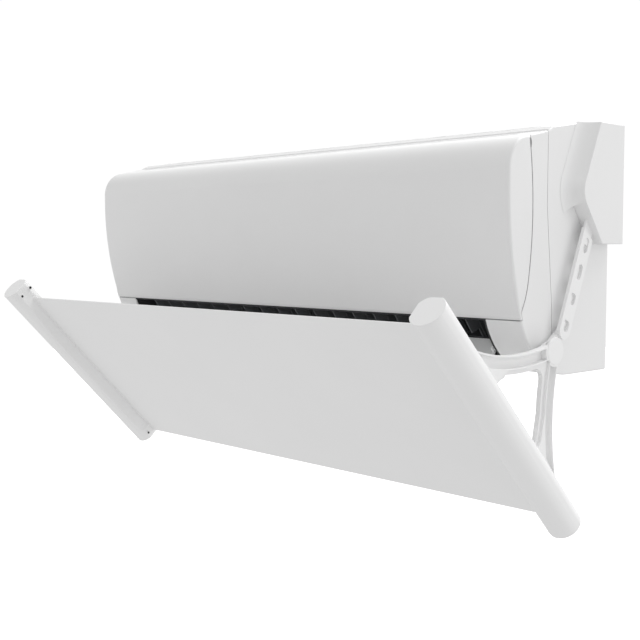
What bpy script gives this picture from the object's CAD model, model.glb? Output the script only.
"""Looks of a wall-hung air conditioner with a tilting wind deflector below its outlet."""

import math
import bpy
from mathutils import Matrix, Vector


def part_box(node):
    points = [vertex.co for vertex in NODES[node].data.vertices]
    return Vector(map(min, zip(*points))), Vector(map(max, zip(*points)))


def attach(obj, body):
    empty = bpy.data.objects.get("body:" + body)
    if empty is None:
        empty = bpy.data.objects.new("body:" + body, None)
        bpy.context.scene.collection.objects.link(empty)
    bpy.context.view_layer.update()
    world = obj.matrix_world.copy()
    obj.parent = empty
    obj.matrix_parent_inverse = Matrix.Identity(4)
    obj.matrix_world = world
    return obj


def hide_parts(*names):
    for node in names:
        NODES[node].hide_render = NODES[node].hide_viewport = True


bl_info = {
    "name": "Wall air conditioner with deflector",
    "version": (1, 0, 0),
    "blender": (4, 5, 0),
    "location": "View3D > Sidebar > Air conditioner",
    "description": "Builds the casing, the deflector, their finishes and a plain studio",
    "category": "Object",
}

import bmesh
import bpy
from mathutils import Matrix, Vector

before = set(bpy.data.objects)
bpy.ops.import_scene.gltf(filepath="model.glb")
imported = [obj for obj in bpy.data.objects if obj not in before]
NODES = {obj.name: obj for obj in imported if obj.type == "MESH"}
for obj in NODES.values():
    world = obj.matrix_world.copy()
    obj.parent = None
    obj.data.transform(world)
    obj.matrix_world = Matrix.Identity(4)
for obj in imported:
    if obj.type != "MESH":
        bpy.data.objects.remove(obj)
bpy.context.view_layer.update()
MM = 0.001

# Lengths below are in millimetres and turns in degrees. A place is (y, z), from the wall and from the
# height of the screw pattern's centre, unless a comment says otherwise.

# Section of the casing: front, chin, top front edge, the seam behind the panel and its bend at the chin
FRONT_C, FRONT_R, FRONT_TURN = (275.0, 76.0), 490.0, 19.0
CHIN_C, CHIN_R, CHIN_TURN = (-88.08, -49.02), 106.0, 19.8
TOP_C, TOP_R, TOP_RISE = (-175.0, 91.6), 40.0, 11.9
SEAM_C, SEAM_R = (-648.1, 45.0), 480.0
BEND_C, BEND_R, BEND_Z = (-274.1, -22.3), 100.0, -40.0
BACK_Y, BOTTOM_Z = -1.2, -155.02

# Raised rear top: where it steps up, where it gets level, and how far the step's lip leans back
STEP_Y, STEP_LOW, STEP_HIGH = -138.6, 140.1, 144.5
LEVEL_Y, TOP_Z = -70.0, 155.3
LIP_LEAN, LIP_RISE, LIP_CUT, LIP_NEAR = 11.0, 0.15, 0.3, 0.8

# How near a vertex has to be to the section's outline, to the end and to a flat face to lie on it
OUTLINE_NEAR, END_NEAR, FACE_NEAR = 1.4, 0.1, 0.01
# How near vertices are merged: in a CAD mesh, after the ends are rounded and in a bracket
CAD_MERGE, ENDS_MERGE, ARM_MERGE = 0.02, 0.2, 0.01
# Turns between two faces: up to the first they are one, and past the others a corner gets a radius, on the
# extruded plate and on moulded pieces
FLAT_TURN, PLATE_TURN, MOULDED_TURN = 0.5, 35.0, 50.0
# A face runs along the unit where its normal leans less than this towards an end
ALONG = 0.1

# Front panel: the turn at which its skin ends at the chin, its flange at the hinge, how far back its ends
# reach, and the heights up to which the seam narrows their radius and the skin's wall holds them back
PANEL_CUT = 198.93
PANEL_FLANGE = [(-179.2, 131.5), (-175.1, 132.4)]
PANEL_END_Y, PANEL_SEAM_Z, PANEL_TOP_Z = -168.1, 100.0, 120.0
# The radius along its ends: its share of a narrow end, the least that is left, and its steps
EDGE_SHARE, EDGE_LEAST, EDGE_STEPS = 0.42, 1.1, 6
# Ribs and hinge pins behind it, and how far they bite into the skin
RIB_X, RIB_HALF, RIB_DEPTH, RIB_TURN = (-300, -100, 100, 300), 1.0, 5.0, 194
PIN_C, PIN_R, PIN_L, BITE = (-185.0, 122.5), 2.0, 6.4, 0.4
# Seal strip in the gap: distance from the ends, half width, lowest point, pitch and number of points; then
# along the chin: depth below the surface, turns of both edges and distance from the ends
SEAL_IN, SEAL_HALF, SEAL_LOW, SEAL_PITCH, SEAL_ROWS = 0.9, 1.2, -74.0, 6.4, 31
SEAL_SINK, SEAL_TURNS, SEAL_SHORT = 1.4, (198.0, 200.0), 2.0

# Side cover: its gap to the casing, its outline's front and foot, and the round end of its front
COVER_GAP = 0.2
COVER_FRONT_Y, COVER_FOOT = -55.1, (-47.8, 6.2)
COVER_C, COVER_R, COVER_TURNS = (-65.4, 71.0), 25.0, (158.0, 216.0)
COVER_LEVELS = 14

# Light strip at the left end of the mouth
CHEEK_X, CHEEK_Y, CHEEK_Z = (-370.9, -370.6), (-187.4, -171.0), (-110.0, -84.5)

# Deflector: its hub and tilt; in its own frame, the plate's place and span, and a rail's axis as (x, y)
# with its radius and span
HUB, TILT = (-149.3, -119.9), 43.7
PLATE_Y, PLATE_Z = -119.3, (-171.2, 169.5)
RAIL_C, RAIL_R, RAIL_Z = (442.0, -124.8), 21.5, (-176.0, 197.5)
# Distances of a rail's flats from its axis, and the length and edge radius of its caps
RAIL_INNER, RAIL_OUTER, RAIL_BACK = 19.0, 21.3, 20.0
CAP, CAP_EDGE = 3.0, 0.9
# Heights along a rail, and how far its inner flat is scooped there
RAIL_SCOOP = ((-155.0, 0.0), (-152.0, 1.6), (-147.0, 3.0), (60.0, 3.0), (120.0, 2.0), (160.0, 0.0))
# Rail screws: a head's face has more corners than this; the rim round it and how deep the face lies
HEAD_CORNERS, HEAD_RIM, HEAD_SINK = 12, 1.1, 0.3

# Brackets: span in x, how far the arms' face lies behind the hub's, and the ledge behind that face
BRACKET_X, FLANGE_IN, LEDGE = (436.5, 447.0), 0.5, 3.6
# The bow of an arm's upper side, the turns where the undersides' bows end, above and below, and the edges
ARM_C, ARM_R, ARM_TURNS = (143.2, 257.0), 284.3, (209.3, 238.3)
UNDER_TURN, STRAIGHT_TURN, ARM_EDGE = 222.9, 226.5, 0.35
# An arm's depth, the corner radius of the V and the gusset at the rail: behind the ledge and before it
ARM_BEHIND = (22.0, 13.0, [(-84.8, 48.0), (-92.4, 51.6), (-104.8, 54.0)])
ARM_BEFORE = (16.6, 2.0, [(-81.5, 52.4), (-90.5, 55.8), (-104.8, 58.8)])
# Pockets: depth below the arm's upper side and turn at the rail, for both long edges; distance from the hub;
# and their section, as depth and how far the upper edge has come down
POCKET_TOP, POCKET_LOW, POCKET_HUB = (2.0, 211.6), (15.0, 216.1), 18.8
POCKET_SECTION = ((0.0, 0.0), (3.6, 0.4), (5.6, 1.3), (7.0, 2.9), (7.6, 5.0))
# Hub: radius, thickness and edge of the disc that shows, and the boss that reaches out behind the bracket
HUB_R, HUB_T, HUB_EDGE = 16.2, 2.4, 0.8
BOSS_R, BOSS_BACK = 10.5, 2.5

# Straps: lower end, lean from upright, width, span in x, heights of the slanted end's corners, and edges
STRAP_END, STRAP_LEAN = (-116.5, -97.5), 22.8
STRAP_W, STRAP_X, STRAP_TOP, STRAP_EDGE = 23.0, (433.5, 438.0), (121.5, 130.0), 0.6
# Height slots: how many, how many hooked, the lowest and the pitch; a straight one; and a hooked one's
# three rounds, as places across the strap and along it from the slot's middle
SLOTS, HOOKED, SLOT_LOW, SLOT_PITCH = 4, 2, 5.7, 35.0
SLOT_ACROSS, SLOT_HALF, SLOT_R = 0.4, 5.4, 4.3
HOOK_FOOT, HOOK_HEAD, HOOK_NOTCH = (0.8, -3.4), (1.2, 2.6), (-3.4, 4.6)
HOOK_HEAD_R, HOOK_NOTCH_R = 3.9, 1.9
# Tongue above the slanted end: half width, heights, and its span in x from the strap's inner face
TONGUE_HALF, TONGUE_Z, TONGUE_X = 9.5, (112.0, 196.0), (0.1, 2.6)
# Share by which the link behind a hub is narrowed
LINK_SHRINK = 0.4

# Studio, in metres: floor, point that the lamps face, and each lamp's name, place, width and watts
FLOOR_Z, FLOOR_HALF = -1.4, 12.0
WORLD_LIGHT, WORLD_SEEN = 0.69, 1.02
LAMP_AIM = (0, -0.15, -0.05)
LAMPS = (
    ("Key", (1.2, 0.6, 2.6), 2.0, 17.0),
    ("Top", (0.0, 2.0, 2.3), 2.0, 74.0),
    ("Side", (2.6, 1.6, 0.6), 1.5, 8.0),
    ("Left", (-2.5, -1.5, 0.3), 1.5, 3.0),
    ("Low left", (-1.1, -0.9, -1.5), 1.0, 1.5),
    ("Low back", (2.0, 0.8, -1.2), 1.2, 3.5),
)
# Camera: place in metres, how far it looks down and turns from the wall's normal, and its lens
CAMERA_PLACE, CAMERA_DOWN, CAMERA_TURN = (1.1362, -1.1919, 0.0), 3.9, 46.3
LENS_MM, SENSOR_MM = 58.5, 36.0


def linear(code):
    """An sRGB hex colour as linear red, green and blue."""
    parts = [int(code[i : i + 2], 16) / 255 for i in (1, 3, 5)]
    return tuple(p / 12.92 if p < 0.04045 else ((p + 0.055) / 1.055) ** 2.4 for p in parts)


# -------- properties


def length(name, description, default):
    """A length that a user may change."""
    kind = {"subtype": "DISTANCE", "unit": "LENGTH", "precision": 4, "min": 0.0}
    return bpy.props.FloatProperty(name=name, description=description, default=default, **kind)


def shade(name, description, code):
    """A colour that a user may change."""
    kind = {"subtype": "COLOR", "size": 3, "min": 0.0, "max": 1.0}
    return bpy.props.FloatVectorProperty(name=name, description=description, default=linear(code), **kind)


class CasingSizes(bpy.types.PropertyGroup):
    """Sizes of the casing's pieces"""

    half_width: length(
        "Half width", "Half the width of the casing without its side covers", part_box("front_panel")[1][0]
    )
    wall: length("Wall", "Thickness of the moulded walls", 0.0026)
    panel_edge: length("Panel edge", "Radius along the ends of the front panel", 0.0035)
    seam: length("Seam", "Width of the gap behind the front panel", 0.0008)
    body_edge: length("Body edge", "Radius along the ends of the body", 0.0025)
    cover_reach: length("Cover reach", "How far a side cover stands out", 0.0201)
    cove: length("Cove", "How far the foot of a side cover's cove runs out", 0.022)
    cover_edge: length("Cover edge", "Radius along the outer edge of a side cover", 0.0012)


class DeflectorSizes(bpy.types.PropertyGroup):
    """Sizes of the deflector's pieces"""

    plate_half: length(
        "Plate half width", "Half the width of the deflector plate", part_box("deflector_plate")[1][0]
    )
    plate_thickness: length("Plate thickness", "Thickness of the deflector plate", 0.0028)
    arris: length("Arris", "Radius of the plate's edges", 0.0007)


class Finishes(bpy.types.PropertyGroup):
    """Colours of the plastics"""

    casing: shade("Casing", "Moulded casing", "#EFEFEF")
    deflector: shade("Deflector", "Extruded and moulded pieces of the deflector", "#F4F4F4")
    flap: shade("Flap", "Flap and drain pieces", "#E2E3E3")
    vanes: shade("Vanes", "Vanes in the outlet", "#5A5C5E")
    duct: shade("Duct", "Duct of the outlet", "#2C2D2F")


# -------- materials


def add_node(tree, kind, settings=None, inputs=None):
    """Adds a node, sets its settings and fills its sockets with values or links."""
    node = tree.nodes.new(kind)
    for key, value in (settings or {}).items():
        setattr(node, key, value)
    for key, value in (inputs or {}).items():
        if isinstance(value, bpy.types.NodeSocket):
            tree.links.new(value, node.inputs[key])
        else:
            node.inputs[key].default_value = value
    return node


def start_material(name):
    """An empty material, its tree and its shader, joined to the output."""
    material = bpy.data.materials.new(name)
    material.use_nodes = True
    tree = material.node_tree
    tree.nodes.clear()
    shader = add_node(tree, "ShaderNodeBsdfPrincipled")
    add_node(tree, "ShaderNodeOutputMaterial", inputs={"Surface": shader.outputs[0]})
    return material, tree, shader


def span(tree, value, low, high, start=0.0, end=1.0):
    """A value stretched from one span to another."""
    limits = {"From Min": start, "From Max": end, "To Min": low, "To Max": high}
    return add_node(tree, "ShaderNodeMapRange", inputs={"Value": value, **limits}).outputs[0]


def vary(tree, place, size_mm, low, high):
    """Noise of one size in millimetres, stretched between two values."""
    fill = {"Vector": place, "Scale": 1 / (size_mm * MM), "Detail": 3.0}
    noise = add_node(tree, "ShaderNodeTexNoise", inputs=fill)
    return span(tree, noise.outputs["Fac"], low, high, 0.3, 0.7)


def tinted(tree, colour, factor):
    """A colour whose brightness follows a factor near one."""
    settings = {"data_type": "RGBA", "blend_type": "MULTIPLY"}
    fill = {"Factor": 1.0, "A": (*colour, 1.0), "B": factor}
    return add_node(tree, "ShaderNodeMix", settings, fill).outputs["Result"]


def raise_bumps(tree, shader, height, strength, depth_mm):
    """Leads a height into the shader's normal."""
    fill = {"Height": height, "Strength": strength, "Distance": depth_mm * MM}
    bump = add_node(tree, "ShaderNodeBump", inputs=fill)
    tree.links.new(bump.outputs[0], shader.inputs["Normal"])


def draw_lines(tree, place, spacing_mm, lean):
    """Lines that an extrusion's die leaves along the draw, which leans about X."""
    fill = {"Vector": place, "Rotation": (math.radians(-lean), 0.0, 0.0)}
    along = add_node(tree, "ShaderNodeMapping", inputs=fill).outputs[0]
    # the last scale is small, so that a line is half a metre long
    fill = {"Vector": along, "Scale": (1 / (spacing_mm * MM), 1 / (spacing_mm * MM), 2.0)}
    stretched = add_node(tree, "ShaderNodeMapping", inputs=fill).outputs[0]
    fill = {"Vector": stretched, "Scale": 1.0, "Detail": 1.0}
    return add_node(tree, "ShaderNodeTexNoise", inputs=fill).outputs["Fac"]


def plastic(name, colour, roughness, grain_mm, depth_mm, ior=1.53, lines=None):
    """Moulded or extruded plastic: even colour, a grain pressed by the tool, slightly uneven gloss.

    lines holds the spacing in millimetres and the lean of an extrusion's draw lines about X.
    """
    material, tree, shader = start_material(name)
    place = add_node(tree, "ShaderNodeTexCoord").outputs["Object"]
    tone = vary(tree, place, size_mm=140.0, low=0.985, high=1.0)
    shader.inputs["IOR"].default_value = ior
    tree.links.new(tinted(tree, colour, tone), shader.inputs["Base Color"])
    gloss = vary(tree, place, size_mm=60.0, low=roughness - 0.03, high=roughness + 0.03)
    tree.links.new(gloss, shader.inputs["Roughness"])
    fill = {"Vector": place, "Scale": 1 / (grain_mm * MM), "Detail": 2.0}
    height = add_node(tree, "ShaderNodeTexNoise", inputs=fill).outputs["Fac"]
    if lines:
        drawn = draw_lines(tree, place, *lines)
        height = add_node(tree, "ShaderNodeMath", {"operation": "ADD"}, {0: height, 1: drawn}).outputs[0]
    raise_bumps(tree, shader, height, strength=0.6, depth_mm=depth_mm)
    return material


def metal(name, code, roughness, size_mm, spread, depth_mm=0.02, cells=False, drawn=1):
    """Bare or plated metal whose tone and gloss vary over grains of one size.

    cells gives grains with edges in place of clouds, and drawn flattens them in height.
    """
    material, tree, shader = start_material(name)
    place = add_node(tree, "ShaderNodeTexCoord").outputs["Object"]
    shader.inputs["Metallic"].default_value = 1.0
    scale = [k / (size_mm * MM) for k in (1, 1, drawn)]
    scaled = add_node(tree, "ShaderNodeMapping", inputs={"Vector": place, "Scale": scale})
    pattern = "ShaderNodeTexVoronoi" if cells else "ShaderNodeTexNoise"
    grains = add_node(tree, pattern, inputs={"Vector": scaled.outputs[0], "Scale": 1.0})
    level = add_node(tree, "ShaderNodeSeparateColor", inputs={"Color": grains.outputs["Color"]}).outputs[0]
    tone = span(tree, level, 1.0 - spread, 1.0)
    tree.links.new(tinted(tree, linear(code), tone), shader.inputs["Base Color"])
    tree.links.new(span(tree, level, roughness - 0.08, roughness + 0.08), shader.inputs["Roughness"])
    raise_bumps(tree, shader, level, strength=0.4, depth_mm=depth_mm)
    return material


def banded(name, light_code, dark_code, spacings, roughness, depth_mm, metallic=0.0):
    """A material with even bands or a grid: one sine per axis, with its spacing in millimetres."""
    material, tree, shader = start_material(name)
    place = add_node(tree, "ShaderNodeTexCoord").outputs["Object"]
    axes = add_node(tree, "ShaderNodeSeparateXYZ", inputs={"Vector": place})
    height = None
    for axis, spacing_mm in spacings:
        fill = {0: axes.outputs[axis], 1: 2 * math.pi / (spacing_mm * MM)}
        turn = add_node(tree, "ShaderNodeMath", {"operation": "MULTIPLY"}, fill)
        wave = add_node(tree, "ShaderNodeMath", {"operation": "SINE"}, {0: turn.outputs[0]}).outputs[0]
        if height is not None:
            wave = add_node(tree, "ShaderNodeMath", {"operation": "MAXIMUM"}, {0: height, 1: wave}).outputs[0]
        height = wave
    ridge = span(tree, height, 0.0, 1.0, -0.35, 0.35)
    fill = {"Factor": ridge, "A": (*linear(dark_code), 1.0), "B": (*linear(light_code), 1.0)}
    tone = add_node(tree, "ShaderNodeMix", {"data_type": "RGBA"}, fill)
    tree.links.new(tone.outputs["Result"], shader.inputs["Base Color"])
    shader.inputs["Metallic"].default_value = metallic
    gloss = vary(tree, place, size_mm=30.0, low=roughness - 0.05, high=roughness + 0.05)
    tree.links.new(gloss, shader.inputs["Roughness"])
    raise_bumps(tree, shader, ridge, strength=0.8, depth_mm=depth_mm)
    return material


def make_plastics():
    """Every moulded or extruded finish, by a maker's name."""
    shades = bpy.context.scene.aircon_finishes
    casing, deflector = tuple(shades.casing), tuple(shades.deflector)
    return {
        # injection-moulded ABS from a polished tool: even, satin, hardly any grain
        "casing_abs": plastic("Casing ABS moulded", casing, 0.42, 1.2, 0.006),
        # rigid PVC drawn through a die: fine lines along the draw
        "deflector_pvc": plastic("Deflector PVC extruded", deflector, 0.45, 1.0, 0.006, 1.54, (1.6, TILT)),
        # nylon arms, moulded: a fine spark grain that dulls them a little
        "arm_nylon": plastic("Arm nylon moulded", deflector, 0.45, 0.7, 0.01),
        # the casing's ABS in a light grey, slightly glossier
        "flap_abs": plastic("Flap ABS moulded grey", tuple(shades.flap), 0.4, 1.2, 0.006),
        # acetal vanes, moulded dark grey: half matt, so that they show in the dark mouth
        "vane_pom": plastic("Vane acetal moulded", tuple(shades.vanes), 0.5, 0.8, 0.01, 1.48),
        # black polypropylene: matt, with a coarse grain
        "duct_pp": plastic("Duct polypropylene moulded", tuple(shades.duct), 0.6, 1.0, 0.03, 1.49),
        # glass-filled styrene of the fan wheel: dark grey, a little uneven
        "fan_as": plastic("Fan styrene moulded", linear("#3A3B3D"), 0.45, 1.0, 0.02, 1.57),
        # open-cell foam, cut: dull, with pores of half a millimetre
        "seal": plastic("Seal foam grey", linear("#77797B"), 0.8, 0.6, 0.05, 1.5),
        # nitrile, moulded: black and dull
        "rubber": plastic("Bearing nitrile rubber", linear("#1B1B1C"), 0.75, 0.6, 0.05, 1.52),
        # phenolic resin, pressed: near black, half matt
        "phenolic": plastic("Terminal phenolic moulded", linear("#232324"), 0.5, 0.8, 0.02, 1.6),
        # blackened steel, whose oxide looks like a dark satin plastic
        "screw_black": plastic("Screw steel blackened", linear("#1C1C1D"), 0.4, 1.0, 0.02),
        # stove paint on a drawn can: grey, with a slight orange peel
        "motor": plastic("Motor can painted", linear("#55585B"), 0.4, 1.5, 0.03),
    }


def make_metals_and_grids():
    """Every metal, net, fin pack and board, by a maker's name."""
    return {
        # woven net in a frame; threads are drawn at 3 mm, coarser than real, so that they show
        "filter_net": banded("Filter nylon net woven", "#AEB6BE", "#5D656D", ((0, 3.0), (2, 3.0)), 0.7, 0.3),
        # stamped aluminium fins, drawn at 2.4 mm, coarser than real, so that they show
        "fins": banded("Fins aluminium stamped", "#C9CDD0", "#4A4D50", ((0, 2.4),), 0.4, 0.5, metallic=1.0),
        # glass cloth under green resist: tracks show as low bands
        "board": banded("Board epoxy with solder mask", "#2F6B45", "#1F5033", ((1, 6), (2, 9)), 0.35, 0.05),
        # zinc coat: grey flakes of about a centimetre
        "zinc": metal("Steel zinc plated", "#C2C4C6", 0.38, 9.0, 0.25, 0.01, cells=True),
        # rolled sheet: light, with flat streaks
        "aluminium": metal("End plate aluminium rolled", "#C8CACC", 0.4, 2.0, 0.12, 0.01, drawn=8),
        # drawn tube: warm, with slow stains
        "copper": metal("Pipe copper drawn", "#C47A55", 0.33, 12.0, 0.3),
        # turned brass: yellow, fairly bright
        "brass": metal("Nut brass turned", "#C9A557", 0.3, 3.0, 0.2),
    }


MADE = {}


def finish(key):
    """One finish by its key, made on the first call."""
    if not MADE:
        MADE.update(make_plastics())
        MADE.update(make_metals_and_grids())
    return MADE[key]


# -------- shapes


def arc(centre, radius, start, end, steps):
    """Points on an arc between two angles in degrees."""
    turns = [math.radians(start + (end - start) * i / steps) for i in range(steps + 1)]
    return [(centre[0] + radius * math.cos(t), centre[1] + radius * math.sin(t)) for t in turns]


def polar(centre, radius, turn):
    """The point on a circle at one angle in degrees."""
    return arc(centre, radius, turn, turn, 1)[0]


def at_x(x, points):
    """(y, z) points at one x."""
    return [Vector((x, y, z)) for y, z in points]


def only(geometry, kind):
    """The vertices, edges or faces in what an operator gives back."""
    return [g for g in geometry if isinstance(g, kind)]


def loft(bm, rows, closed=False):
    """Lays down the first row of points and pulls each next row out of the one before."""
    verts = [bm.verts.new(p) for p in rows[0]]
    ends = verts[1:] + verts[:1] if closed else verts[1:]
    first = edges = [bm.edges.new(pair) for pair in zip(verts, ends)]
    for row in rows[1:]:
        pulled = bmesh.ops.extrude_edge_only(bm, edges=edges)["geom"]
        edges = only(pulled, bmesh.types.BMEdge)
        fresh = set(only(pulled, bmesh.types.BMVert))
        verts = [next(e.other_vert(v) for e in v.link_edges if e.other_vert(v) in fresh) for v in verts]
        for vert, point in zip(verts, row):
            vert.co = point
    return first, edges


def solid_loft(bm, rows):
    """A closed body through closed rows of points."""
    first, last = loft(bm, rows, closed=True)
    bmesh.ops.holes_fill(bm, edges=first + last, sides=0)
    bmesh.ops.recalc_face_normals(bm, faces=bm.faces)


def plate(bm, outline, holes, x0, x1):
    """A flat body with holes, cut from (y, z) outlines and given its thickness along X."""
    edges = []
    for ring in [outline, *holes]:
        verts = [bm.verts.new(p) for p in at_x(x0, ring)]
        edges += [bm.edges.new(pair) for pair in zip(verts, verts[1:] + verts[:1])]
    filled = bmesh.ops.triangle_fill(bm, use_beauty=True, use_dissolve=False, edges=edges)["geom"]
    faces = only(filled, bmesh.types.BMFace)
    pulled = bmesh.ops.extrude_face_region(bm, geom=faces, use_keep_orig=True)["geom"]
    bmesh.ops.translate(bm, vec=(x1 - x0, 0, 0), verts=only(pulled, bmesh.types.BMVert))
    bmesh.ops.recalc_face_normals(bm, faces=bm.faces)


def disc(bm, place, radius, x0, x1, segments):
    """A round body along X at a (y, z) place."""
    made = bmesh.ops.create_cone(
        bm, cap_ends=True, segments=segments, radius1=radius, radius2=radius, depth=x1 - x0
    )["verts"]
    turn = Matrix.Translation(Vector(((x0 + x1) / 2, *place))) @ Matrix.Rotation(math.pi / 2, 4, "Y")
    bmesh.ops.transform(bm, matrix=turn, verts=made)
    return made


def round_edges(bm, edges, radius, segments):
    """Gives edges a radius."""
    bmesh.ops.bevel(
        bm,
        geom=list(edges),
        offset=radius,
        offset_type="OFFSET",
        segments=segments,
        profile=0.5,
        affect="EDGES",
        clamp_overlap=False,
        material=-1,
    )


def sharp_edges(bm, limit):
    """The convex edges between two faces that meet at more than the limit in degrees."""
    joined = [edge for edge in bm.edges if len(edge.link_faces) == 2 and edge.is_convex]
    return [edge for edge in joined if edge.calc_face_angle(0.0) > math.radians(limit)]


def merged_copy(node):
    """A CAD node's mesh in millimetres, its loose triangles merged and its flat faces whole."""
    bm = bmesh.new()
    bm.from_mesh(NODES[node].data)
    bmesh.ops.scale(bm, vec=(1 / MM,) * 3, verts=bm.verts)
    bmesh.ops.remove_doubles(bm, verts=bm.verts, dist=CAD_MERGE)
    bmesh.ops.dissolve_limit(bm, angle_limit=math.radians(FLAT_TURN), verts=bm.verts, edges=bm.edges)
    return bm


def mirror_x(bm):
    """Turns a right-hand shape into its left-hand one."""
    bmesh.ops.scale(bm, vec=(-1, 1, 1), verts=bm.verts)
    bmesh.ops.reverse_faces(bm, faces=bm.faces)


def make_mesh(name, bm):
    """A mesh made from a bmesh, which is then done with."""
    mesh = bpy.data.meshes.new(name)
    bm.to_mesh(mesh)
    bm.free()
    return mesh


def add_object(name, data):
    """An object in the scene for a mesh, a lamp or a camera."""
    made = bpy.data.objects.new(name, data)
    bpy.context.scene.collection.objects.link(made)
    return made


def take_in(bm, other):
    """Moves a second shape into the first."""
    mesh = make_mesh("part", other)
    bm.from_mesh(mesh)
    bpy.data.meshes.remove(mesh)


def add_piece(name, bm, material, body, replaces=(), sharp=38.0):
    """Turns a bmesh in millimetres into a finished piece that rides on a body.

    Faces that meet at more than sharp, in degrees, keep a sharp edge.
    """
    bmesh.ops.scale(bm, vec=(MM,) * 3, verts=bm.verts)
    for face in bm.faces:
        face.smooth = True
    for edge in bm.edges:
        if len(edge.link_faces) == 2:
            edge.smooth = edge.calc_face_angle(0.0) < math.radians(sharp)
    piece = add_object(name, make_mesh(name, bm))
    piece.data.materials.append(material)
    shading = piece.modifiers.new("Flat faces stay flat", "WEIGHTED_NORMAL")
    shading.keep_sharp = True
    shading.weight = 100
    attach(piece, body)
    if replaces:
        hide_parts(*replaces)
    return piece


def dress(nodes, key):
    """Gives CAD nodes a finish in place of their plain one."""
    for node in nodes:
        for place in NODES[node].material_slots:
            place.material = finish(key)


# -------- casing


def casing_outline():
    """The whole casing section, clockwise from the chin's top."""
    return (
        arc(FRONT_C, FRONT_R, 180 + FRONT_TURN, 180, 8)
        + arc(TOP_C, TOP_R, 180, 90 + TOP_RISE, 8)
        + [(STEP_Y, STEP_LOW), (STEP_Y, STEP_HIGH), (LEVEL_Y, TOP_Z), (BACK_Y, TOP_Z), (BACK_Y, BOTTOM_Z)]
        + arc(CHIN_C, CHIN_R, 270, 180 + CHIN_TURN, 14)
    )


def off_line(point, start, end):
    """Distance of a point from a line between two points."""
    point, start, end = Vector(point), Vector(start), Vector(end)
    run = end - start
    share = max(0.0, min(1.0, (point - start).dot(run) / max(run.length_squared, 1e-9)))
    return (point - start - share * run).length


def on_outline(vert, outline):
    """Whether a vertex lies on the casing's section."""
    place = (vert.co.y, vert.co.z)
    return min(off_line(place, a, b) for a, b in zip(outline, outline[1:] + outline[:1])) < OUTLINE_NEAR


def seam_y(z):
    """Where the seam behind the front panel runs at a height."""
    centre, radius = (SEAM_C, SEAM_R) if z > BEND_Z else (BEND_C, BEND_R)
    return centre[0] + math.sqrt(max(radius * radius - (z - centre[1]) ** 2, 0.0))


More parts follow.
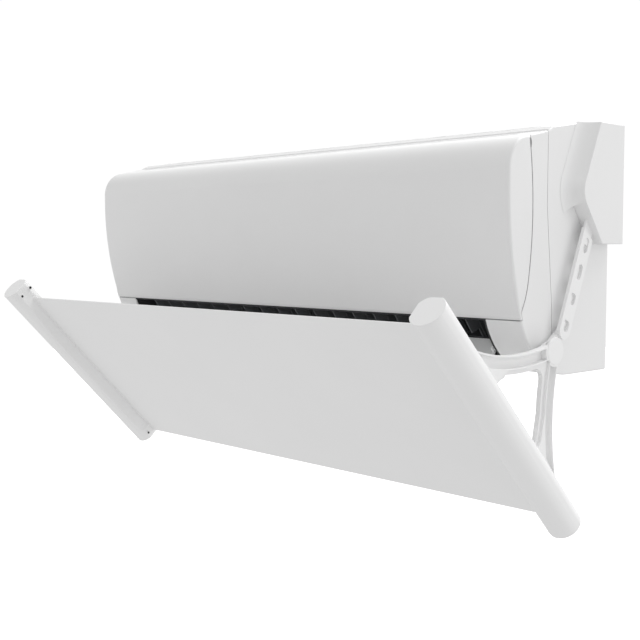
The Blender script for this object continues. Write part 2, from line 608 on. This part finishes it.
class AIRCON_OT_front_panel(bpy.types.Operator):
    """Front panel: a skin whose ends turn back to the seam, ribs, hinge pins and the gap's seal strip"""

    bl_idname = "aircon.front_panel"
    bl_label = "Front panel"

    def skin(self, sizes):
        """The skin, laid from the seam at one end over the face to the seam at the other."""
        half, wall, edge = sizes.half_width / MM, sizes.wall / MM, sizes.panel_edge / MM
        face = arc(FRONT_C, FRONT_R, PANEL_CUT, 180, 36)
        face += arc(TOP_C, TOP_R, 180, 90 + TOP_RISE, 18) + PANEL_FLANGE
        inward, radii = [], []
        for i, (y, z) in enumerate(face):
            before, after = Vector(face[max(i - 1, 0)]), Vector(face[min(i + 1, len(face) - 1)])
            along = (after - before).normalized()
            inward.append(Vector((along.y, -along.x)))
            room = seam_y(z) - y if z < PANEL_SEAM_Z else math.inf
            radii.append(min(edge, max(EDGE_SHARE * room, EDGE_LEAST)))
        end = []
        for i in range(EDGE_STEPS + 1):
            turn = math.radians(90 * i / EDGE_STEPS)
            row = []
            for point, normal, radius in zip(face, inward, radii):
                place = Vector(point) + normal * radius * (1 - math.sin(turn))
                x = half - radius * (1 - math.cos(turn))
                row.append(Vector((x, min(place.x, PANEL_FLANGE[-1][0]), place.y)))
            end.append(row)
        back = []
        for point, normal, place in zip(face, inward, end[0]):
            inside = Vector(point) + normal * wall
            seam = min(seam_y(place.z), PANEL_END_Y) - sizes.seam / MM
            back.append(Vector((half, max(seam, inside.x if place.z < PANEL_TOP_Z else place.y), place.z)))
        right = [back, *end]
        rows = [[Vector((-p.x, p.y, p.z)) for p in row] for row in right] + right[::-1]
        bm = bmesh.new()
        loft(bm, rows)
        bmesh.ops.recalc_face_normals(bm, faces=bm.faces)
        # an open skin may come out facing inwards, which its foremost face shows
        if min(bm.faces, key=lambda f: f.calc_center_median().y).normal.y > 0:
            bmesh.ops.reverse_faces(bm, faces=bm.faces)
        return bm

    def ribs(self, sizes):
        """Ribs that stiffen the skin, and the pins on which the panel hinges."""
        half, wall = sizes.half_width / MM, sizes.wall / MM
        bm = bmesh.new()
        for x in RIB_X:
            ring = arc(FRONT_C, FRONT_R - wall + BITE, RIB_TURN, 180, 8)
            ring += arc(FRONT_C, FRONT_R - wall - RIB_DEPTH, 180, RIB_TURN, 8)
            plate(bm, ring, [], x - RIB_HALF, x + RIB_HALF)
        for sign in (-1, 1):
            ends = sorted((sign * (half - wall - PIN_L), sign * (half - wall + BITE)))
            disc(bm, PIN_C, PIN_R, *ends, 24)
        return bm

    def seal(self, sizes):
        """The strip that closes the gap behind the panel, at both ends and along the chin."""
        half = sizes.half_width / MM
        bm = bmesh.new()
        heights = [SEAL_LOW + SEAL_PITCH * i for i in range(SEAL_ROWS)]
        for sign in (-1, 1):
            edges = [[(seam_y(z) + off, z) for z in heights] for off in (-SEAL_HALF, SEAL_HALF)]
            loft(bm, [at_x(sign * (half - SEAL_IN), edge) for edge in edges])
        reach = half - SEAL_SHORT
        chin = [polar(CHIN_C, CHIN_R - SEAL_SINK, turn) for turn in SEAL_TURNS]
        loft(bm, [at_x(x, chin) for x in (-reach, reach)])
        return bm

    def execute(self, context):
        sizes = context.scene.aircon_casing
        body, slot, moulded = "front_panel", "casing_white", finish("casing_abs")
        panel = add_piece("panel_skin", self.skin(sizes), moulded, body, ["front_panel"], sharp=60.0)
        shell = panel.modifiers.new("Wall", "SOLIDIFY")
        shell.thickness = sizes.wall
        shell.offset = -1
        shell.use_rim = True
        # the wall gets its thickness before the shading is worked out
        panel.modifiers.move(1, 0)
        add_piece("panel_ribs", self.ribs(sizes), moulded, body)
        add_piece("panel_seal", self.seal(sizes), finish("seal"), "casing")
        return {"FINISHED"}


def add_moulding(name, bm, node):
    """A fixed piece of the casing, in place of a CAD node."""
    return add_piece(name, bm, finish("casing_abs"), "casing", [node])


class AIRCON_OT_body(bpy.types.Operator):
    """Front frame, rear chassis and inlet grille, with rounded ends and the raised top's lip sloped"""

    bl_idname = "aircon.body"
    bl_label = "Body"

    def slope_lip(self, bm):
        """Leans the lip of the raised top back; a cut just above its foot keeps the sides straight below."""
        whole = bm.verts[:] + bm.edges[:] + bm.faces[:]
        bmesh.ops.bisect_plane(bm, geom=whole, plane_co=(0, 0, STEP_LOW + LIP_CUT), plane_no=(0, 0, 1))
        for vert in bm.verts:
            if math.hypot(vert.co.y - STEP_Y, vert.co.z - STEP_HIGH) < LIP_NEAR:
                vert.co.y += LIP_LEAN
                vert.co.z += LIP_RISE * LIP_LEAN

    def end_edges(self, bm, end_x):
        """The edges that run round both ends."""
        outline = casing_outline()
        return [
            edge
            for edge in bm.edges
            if all(abs(vert.co.x) > end_x and on_outline(vert, outline) for vert in edge.verts)
            and len(edge.link_faces) == 2
            and min(abs(face.normal.x) for face in edge.link_faces) < ALONG
        ]

    def execute(self, context):
        sizes = context.scene.aircon_casing
        for node, name in (("front_frame", "frame_moulding"), ("rear_chassis", "chassis_moulding")):
            bm = merged_copy(node)
            self.slope_lip(bm)
            round_edges(bm, self.end_edges(bm, sizes.half_width / MM - END_NEAR), sizes.body_edge / MM, 4)
            bmesh.ops.remove_doubles(bm, verts=bm.verts, dist=ENDS_MERGE)
            add_moulding(name, bm, node)
        add_moulding("inlet_grille", merged_copy("top_grille"), "top_grille")
        return {"FINISHED"}


class AIRCON_OT_side_covers(bpy.types.Operator):
    """Side covers, whose front runs into the casing's side in a cove"""

    bl_idname = "aircon.side_covers"
    bl_label = "Side covers"

    def ring(self, spread):
        """Outline with its front moved out by the cove's spread."""
        front = Vector(polar(COVER_C, COVER_R, COVER_TURNS[0])) - Vector((COVER_FRONT_Y, TOP_Z))
        out_y = spread * front.length / abs(front.y)
        points = [(0.0, TOP_Z), (COVER_FRONT_Y - out_y, TOP_Z)]
        points += arc(COVER_C, COVER_R + spread, *COVER_TURNS, 10)
        points += [polar(COVER_C, COVER_R, COVER_TURNS[1]), COVER_FOOT, (0.0, COVER_FOOT[1])]
        return points

    def execute(self, context):
        sizes = context.scene.aircon_casing
        near = sizes.half_width / MM + COVER_GAP
        reach = sizes.cover_reach / MM - COVER_GAP
        cove = sizes.cove / MM
        for node, name in (("side_cover_right", "cover_right"), ("side_cover_left", "cover_left")):
            rows = []
            for i in range(COVER_LEVELS + 1):
                turn = math.radians(90 * i / COVER_LEVELS)
                rows.append(at_x(near + reach * (1 - math.sin(turn)), self.ring(cove * (1 - math.cos(turn)))))
            bm = bmesh.new()
            solid_loft(bm, rows)
            face_x = near + reach - FACE_NEAR
            rim = [edge for edge in bm.edges if all(vert.co.x > face_x for vert in edge.verts)]
            rim = [edge for edge in rim if edge.calc_face_angle(0.0) > math.radians(MOULDED_TURN)]
            round_edges(bm, rim, sizes.cover_edge / MM, 3)
            if name.endswith("left"):
                mirror_x(bm)
            add_moulding(name, bm, node)
        return {"FINISHED"}


class AIRCON_OT_inside(bpy.types.Operator):
    """Finishes of everything behind the panel, in the outlet and on the wall"""

    bl_idname = "aircon.inside"
    bl_label = "Inside"

    def execute(self, context):
        vanes = [node for node in NODES if node.startswith("vane_")]
        for key, nodes in (
            ("fins", ["coil_front", "coil_rear"]),
            ("aluminium", ["tube_sheets"]),
            ("copper", ["coil_bends", "gas_pipe", "liquid_pipe"]),
            ("brass", ["flare_nuts"]),
            ("zinc", ["wall_plate", "strap_screws", "casing_screws"]),
            ("flap_abs", ["drain_pan", "electrical_box", "drain_spigot"]),
            ("duct_pp", ["outlet_duct"]),
            ("fan_as", ["crossflow_fan"]),
            ("motor", ["fan_motor", "flap_motor"]),
            ("rubber", ["fan_bearing"]),
            ("phenolic", ["terminal_block"]),
            ("board", ["circuit_board"]),
            ("filter_net", ["filter_left", "filter_right"]),
            ("vane_pom", [*vanes, "tie_bar_left", "tie_bar_right"]),
        ):
            dress(nodes, key)
        return {"FINISHED"}


class AIRCON_OT_flap(bpy.types.Operator):
    """Flap of the outlet, and the light strip at the left end of the mouth"""

    bl_idname = "aircon.flap"
    bl_label = "Flap"

    def execute(self, context):
        blade = merged_copy("louvre_flap")
        add_piece("flap_blade", blade, finish("flap_abs"), "louvre_flap", ["louvre_flap"])
        (front, back), (low, high) = CHEEK_Y, CHEEK_Z
        bm = bmesh.new()
        plate(bm, [(front, low), (back, low), (back, high), (front, high)], [], *CHEEK_X)
        add_piece("mouth_cheek", bm, finish("casing_abs"), "casing")
        return {"FINISHED"}


# -------- deflector


def deflector_place():
    """From the deflector's own frame to the object's."""
    return Matrix.Translation(Vector((0, *HUB))) @ Matrix.Rotation(math.radians(TILT), 4, "X")


def strap_place():
    """From a strap's own frame, with its lower end at the origin, to the object's."""
    return Matrix.Translation(Vector((0, *STRAP_END))) @ Matrix.Rotation(math.radians(-STRAP_LEAN), 4, "X")


def add_white(name, bm, key, node, body="deflector", sharp=38.0):
    """A white piece of the deflector set, in place of a CAD node."""
    return add_piece(name, bm, finish(key), body, [node], sharp)


class AIRCON_OT_plate(bpy.types.Operator):
    """Deflector plate"""

    bl_idname = "aircon.plate"
    bl_label = "Deflector plate"

    def execute(self, context):
        sizes = context.scene.aircon_deflector
        bm = bmesh.new()
        bmesh.ops.create_cube(bm, size=1.0)
        spans = (2 * sizes.plate_half / MM, sizes.plate_thickness / MM, PLATE_Z[1] - PLATE_Z[0])
        bmesh.ops.scale(bm, vec=spans, verts=bm.verts)
        bmesh.ops.translate(bm, vec=(0, PLATE_Y, sum(PLATE_Z) / 2), verts=bm.verts)
        round_edges(bm, sharp_edges(bm, PLATE_TURN), sizes.arris / MM, 3)
        bmesh.ops.transform(bm, matrix=deflector_place(), verts=bm.verts)
        add_white("plate_sheet", bm, "deflector_pvc", "deflector_plate")
        return {"FINISHED"}


class AIRCON_OT_rails(bpy.types.Operator):
    """Side rails: a round profile with flats, scooped beside the plate, its end caps and their screws"""

    bl_idname = "aircon.rails"
    bl_label = "Rails"

    def section(self, inner, z):
        """The rail's section at a height; inner is the distance of its inner flat from the axis."""
        outer_turn = math.degrees(math.acos(RAIL_OUTER / RAIL_R))
        back_turn = math.degrees(math.asin(RAIL_BACK / RAIL_R))
        inner_turn = 180 - math.degrees(math.acos(inner / RAIL_R))
        ring = arc(RAIL_C, RAIL_R, outer_turn, back_turn, 12)
        ring += arc(RAIL_C, RAIL_R, 180 - back_turn, inner_turn, 6)
        ring += arc(RAIL_C, RAIL_R, 360 - inner_turn, 360 - outer_turn, 30)
        return [Vector((x, y, z)) for x, y in ring]

    def profile(self):
        """The rail between its caps."""
        low, high = RAIL_Z
        stations = [(z, RAIL_INNER - scoop) for z, scoop in RAIL_SCOOP]
        stations = [(low + CAP, RAIL_INNER), *stations, (high - CAP, RAIL_INNER)]
        bm = bmesh.new()
        solid_loft(bm, [self.section(inner, z) for z, inner in stations])
        return bm

    def cap(self, tip, seat):
        """An end cap between its rounded tip and its seat on the rail."""
        bm = bmesh.new()
        solid_loft(bm, [self.section(RAIL_INNER, z) for z in sorted((tip, seat))])
        rim = [edge for edge in bm.edges if all(abs(vert.co.z - tip) < FACE_NEAR for vert in edge.verts)]
        round_edges(bm, rim, CAP_EDGE, 3)
        return bm

    def screws(self):
        """The cap screws, each with its dark face sunk inside a light rim."""
        bm = merged_copy("rail_screws")
        faces = [face for face in bm.faces if len(face.verts) > HEAD_CORNERS]
        bmesh.ops.inset_individual(bm, faces=faces, thickness=HEAD_RIM, depth=-HEAD_SINK)
        for face in faces:
            face.material_index = 1
        return bm

    def execute(self, context):
        low, high = RAIL_Z
        caps = bmesh.new()
        for node in ("rail_right", "rail_left"):
            shapes = [self.profile(), self.cap(low, low + CAP), self.cap(high, high - CAP)]
            for bm in shapes:
                bmesh.ops.transform(bm, matrix=deflector_place(), verts=bm.verts)
                if node.endswith("left"):
                    mirror_x(bm)
            rail, *ends = shapes
            add_white(node + "_profile", rail, "deflector_pvc", node, sharp=12.0)
            for end in ends:
                take_in(caps, end)
        add_white("rail_end_caps", caps, "arm_nylon", "rail_caps")
        heads = add_white("rail_screw_heads", self.screws(), "arm_nylon", "rail_screws")
        heads.data.materials.append(finish("screw_black"))
        return {"FINISHED"}


class AIRCON_OT_arms(bpy.types.Operator):
    """Brackets between the hubs and the rails, the slotted straps and the links behind them"""

    bl_idname = "aircon.arms"
    bl_label = "Brackets and straps"

    def inner(self, depth, corner, gusset):
        """The inside of the V: a small corner radius, the undersides of both arms and their ends at the rail.

        The upper arm keeps its notch before the rail; the lower one runs into it straight.
        """
        radius = ARM_R + depth
        corner_y = ARM_C[0] - math.sqrt((radius + corner) ** 2 - ARM_C[1] ** 2)
        turn = math.degrees(math.atan2(ARM_C[1], ARM_C[0] - corner_y))
        under = arc(ARM_C, radius, 180 + turn, UNDER_TURN, 12) + gusset
        start = Vector(polar(ARM_C, radius, STRAIGHT_TURN))
        lower = arc(ARM_C, radius, 180 + turn, STRAIGHT_TURN, 12) + [start.lerp(gusset[1], 0.5), *gusset[1:]]
        return [(y, -z) for y, z in lower][::-1] + arc((corner_y, 0.0), corner, -turn, turn, 14)[1:-1] + under

    def outlines(self):
        """The bracket's outline behind the ledge and before it, upper arm, hub and lower arm in turn."""
        top = arc(ARM_C, ARM_R, *ARM_TURNS, 26)
        outer = top + arc((0.0, 0.0), BOSS_R, 90.0, -90.0, 24) + [(y, -z) for y, z in top[::-1]]
        return outer + self.inner(*ARM_BEHIND), outer + self.inner(*ARM_BEFORE)

    def pocket(self, shift):
        """One arm's pocket, between its two flanges and the hub, with its upper edge come down by a shift."""
        reach, turn = math.hypot(*ARM_C), 180 + math.degrees(math.atan2(ARM_C[1], ARM_C[0]))
        top, low = ARM_R + POCKET_TOP[0] + shift, ARM_R + POCKET_LOW[0]
        ends = []
        for radius in (top, low):
            cosine = (radius * radius + reach * reach - POCKET_HUB * POCKET_HUB) / (2 * radius * reach)
            ends.append(turn - math.degrees(math.acos(cosine)))
        corners = polar(ARM_C, top, ends[0]), polar(ARM_C, low, ends[1])
        turns = [math.degrees(math.atan2(z, y)) for y, z in corners]
        ring = arc(ARM_C, top, POCKET_TOP[1], ends[0], 24) + arc((0.0, 0.0), POCKET_HUB, *turns, 10)[1:-1]
        return ring + arc(ARM_C, low, ends[1], POCKET_LOW[1], 24)

    def bracket(self):
        """A V of two bowed arms, each a channel open to the outside, with the hub's disc where they meet."""
        x0, x1 = BRACKET_X[0], BRACKET_X[1] - FLANGE_IN
        ledge = x1 - LEDGE
        behind, before = self.outlines()
        bm = bmesh.new()
        rows = [at_x(x0, behind), at_x(ledge, behind), at_x(ledge, before), at_x(x1, before)]
        back, front = loft(bm, rows, closed=True)
        bmesh.ops.holes_fill(bm, edges=back, sides=0)
        for sign in (1, -1):
            rows = []
            for depth, shift in POCKET_SECTION:
                rows.append(at_x(x1 - depth, [(y, sign * z) for y, z in self.pocket(shift)]))
            mouth, floor = loft(bm, rows, closed=True)
            bmesh.ops.holes_fill(bm, edges=floor, sides=0)
            front += mouth
        bmesh.ops.triangle_fill(bm, use_beauty=True, use_dissolve=False, edges=front)
        bmesh.ops.remove_doubles(bm, verts=bm.verts, dist=ARM_MERGE)
        bmesh.ops.recalc_face_normals(bm, faces=bm.faces)
        round_edges(bm, sharp_edges(bm, MOULDED_TURN), ARM_EDGE, 2)
        disc(bm, (0.0, 0.0), BOSS_R, x0 - BOSS_BACK, x1, 48)
        hub = set(disc(bm, (0.0, 0.0), HUB_R, x1 - HUB_T, BRACKET_X[1], 64))
        rims = [edge for edge in sharp_edges(bm, MOULDED_TURN) if hub.issuperset(edge.verts)]
        round_edges(bm, rims, HUB_EDGE, 3)
        bmesh.ops.transform(bm, matrix=deflector_place(), verts=bm.verts)
        return bm

    def slot(self, middle, hooked):
        """Outline of a height slot: straight, or short with a notch for a hook."""
        if not hooked:
            low = arc((SLOT_ACROSS, middle - SLOT_HALF), SLOT_R, 180, 360, 12)
            return low + arc((SLOT_ACROSS, middle + SLOT_HALF), SLOT_R, 0, 180, 12)
        foot, head, notch = ((across, middle + up) for across, up in (HOOK_FOOT, HOOK_HEAD, HOOK_NOTCH))
        ring = arc(foot, SLOT_R, 180, 360, 12) + arc(head, HOOK_HEAD_R, 0, 90, 8)
        return ring + arc(notch, HOOK_NOTCH_R, 90, 250, 8)

    def strap(self):
        """A flat bar with a round end, four height slots and a thinner tongue above a slanted end."""
        half = STRAP_W / 2
        slots = [self.slot(SLOT_LOW + SLOT_PITCH * i, i < HOOKED) for i in range(SLOTS)]
        x0, x1 = STRAP_X
        foot = arc((0.0, 0.0), half, 180, 360, 24)
        bm = bmesh.new()
        plate(bm, foot + [(half, STRAP_TOP[0]), (-half, STRAP_TOP[1])], slots, x0, x1)
        sharp = sharp_edges(bm, MOULDED_TURN)
        outer = [edge for edge in sharp if min(vert.co.x for vert in edge.verts) > x1 - FACE_NEAR]
        round_edges(bm, outer, STRAP_EDGE, 2)
        tongue = bmesh.new()
        low, high = TONGUE_Z
        ring = [(-TONGUE_HALF, low), (TONGUE_HALF, low), (TONGUE_HALF, high), (-TONGUE_HALF, high)]
        plate(tongue, ring, [], x0 + TONGUE_X[0], x0 + TONGUE_X[1])
        take_in(bm, tongue)
        bmesh.ops.transform(bm, matrix=strap_place(), verts=bm.verts)
        return bm

    def link(self, node):
        """The CAD link behind a hub, narrowed across its run and behind the hub so that it doesn't show."""
        bm = merged_copy(node)
        run = (Vector(STRAP_END) - Vector(HUB)).normalized()
        for vert in bm.verts:
            off = Vector((vert.co.y - HUB[0], vert.co.z - HUB[1]))
            off -= LINK_SHRINK * (off - run * off.dot(run))
            off -= run * LINK_SHRINK * min(off.dot(run), 0.0)
            vert.co.y, vert.co.z = HUB[0] + off.x, HUB[1] + off.y
        return bm

    def execute(self, context):
        for side in ("right", "left"):
            shapes = {"bracket_" + side: self.bracket(), "strap_" + side: self.strap()}
            for node, bm in shapes.items():
                if side == "left":
                    mirror_x(bm)
                body = "deflector" if node.startswith("bracket") else "casing"
                add_white(node + "_moulding", bm, "arm_nylon", node, body)
            node = "hub_carrier_" + side
            add_white("hub_link_" + side, self.link(node), "arm_nylon", node, "casing")
        return {"FINISHED"}


# -------- studio


class AIRCON_OT_studio(bpy.types.Operator):
    """Pale floor, soft lights and the camera"""

    bl_idname = "aircon.studio"
    bl_label = "Studio"

    def world(self, scene):
        """A white surround, brighter to the eye than it lights."""
        world = bpy.data.worlds.new("Studio")
        world.use_nodes = True
        scene.world = world
        tree = world.node_tree
        tree.nodes.clear()
        path = add_node(tree, "ShaderNodeLightPath")
        fill = {0: path.outputs["Is Camera Ray"]}
        for socket, strength in ((1, WORLD_LIGHT), (2, WORLD_SEEN)):
            white = {"Color": (1, 1, 1, 1), "Strength": strength}
            fill[socket] = add_node(tree, "ShaderNodeBackground", inputs=white).outputs[0]
        mixed = add_node(tree, "ShaderNodeMixShader", inputs=fill)
        add_node(tree, "ShaderNodeOutputWorld", inputs={"Surface": mixed.outputs[0]})

    def floor(self):
        """A pale sheet that is seen and throws no light back."""
        bm = bmesh.new()
        bmesh.ops.create_grid(bm, x_segments=1, y_segments=1, size=FLOOR_HALF)
        bmesh.ops.translate(bm, vec=(0, 0, FLOOR_Z), verts=bm.verts)
        floor = add_object("floor", make_mesh("floor", bm))
        # matt paper, evenly lit to white
        paper, _, shader = start_material("Floor paper matt")
        shader.inputs["Base Color"].default_value = (*linear("#FAFAFA"), 1.0)
        shader.inputs["Roughness"].default_value = 1.0
        shader.inputs["Emission Color"].default_value = (1, 1, 1, 1)
        shader.inputs["Emission Strength"].default_value = 1.0
        floor.data.materials.append(paper)
        floor.visible_diffuse = False
        floor.visible_glossy = False
        floor.visible_shadow = False

    def lamps(self):
        """Soft square lamps that face the object."""
        for name, place, size, power in LAMPS:
            lamp = bpy.data.lights.new(name, "AREA")
            lamp.size = size
            lamp.energy = power
            holder = add_object(name, lamp)
            holder.location = place
            aim = Vector(LAMP_AIM) - Vector(place)
            holder.rotation_euler = aim.to_track_quat("-Z", "Y").to_euler()

    def camera(self, scene):
        """The camera that the scene is seen from."""
        camera = bpy.data.cameras.new("Camera")
        camera.lens = LENS_MM
        camera.sensor_width = SENSOR_MM
        view = add_object("Camera", camera)
        view.location = CAMERA_PLACE
        view.rotation_euler = (math.radians(90 - CAMERA_DOWN), 0, math.radians(CAMERA_TURN))
        scene.camera = view

    def execute(self, context):
        scene = context.scene
        scene.view_settings.view_transform = "Standard"
        self.world(scene)
        self.floor()
        self.lamps()
        self.camera(scene)
        return {"FINISHED"}


class AIRCON_PT_sidebar(bpy.types.Panel):
    """Lists the operators and the sizes"""

    bl_label = "Air conditioner"
    bl_space_type = "VIEW_3D"
    bl_region_type = "UI"
    bl_category = "Air conditioner"

    def draw(self, context):
        for operator in OPERATORS:
            self.layout.operator(operator.bl_idname)
        for attribute, _ in GROUPS:
            group = getattr(context.scene, attribute)
            for key in group.bl_rna.properties.keys():
                if key not in ("rna_type", "name"):
                    self.layout.prop(group, key)


GROUPS = (("aircon_casing", CasingSizes), ("aircon_deflector", DeflectorSizes), ("aircon_finishes", Finishes))
OPERATORS = (
    AIRCON_OT_studio,
    AIRCON_OT_front_panel,
    AIRCON_OT_body,
    AIRCON_OT_side_covers,
    AIRCON_OT_inside,
    AIRCON_OT_flap,
    AIRCON_OT_plate,
    AIRCON_OT_rails,
    AIRCON_OT_arms,
)


def register():
    """Registers the sizes, the operators and the sidebar."""
    for key, group in GROUPS:
        bpy.utils.register_class(group)
        setattr(bpy.types.Scene, key, bpy.props.PointerProperty(type=group))
    for cls in (*OPERATORS, AIRCON_PT_sidebar):
        bpy.utils.register_class(cls)


def unregister():
    """Takes back what register did, in the opposite order."""
    for cls in (AIRCON_PT_sidebar, *reversed(OPERATORS)):
        bpy.utils.unregister_class(cls)
    for key, group in reversed(GROUPS):
        delattr(bpy.types.Scene, key)
        bpy.utils.unregister_class(group)


def main():
    """Builds everything and notes the boxes of the CAD and of the dressed part."""
    register()
    for operator in OPERATORS:
        family, name = operator.bl_idname.split(".")
        getattr(getattr(bpy.ops, family), name)()


if __name__ == "__main__":
    main()
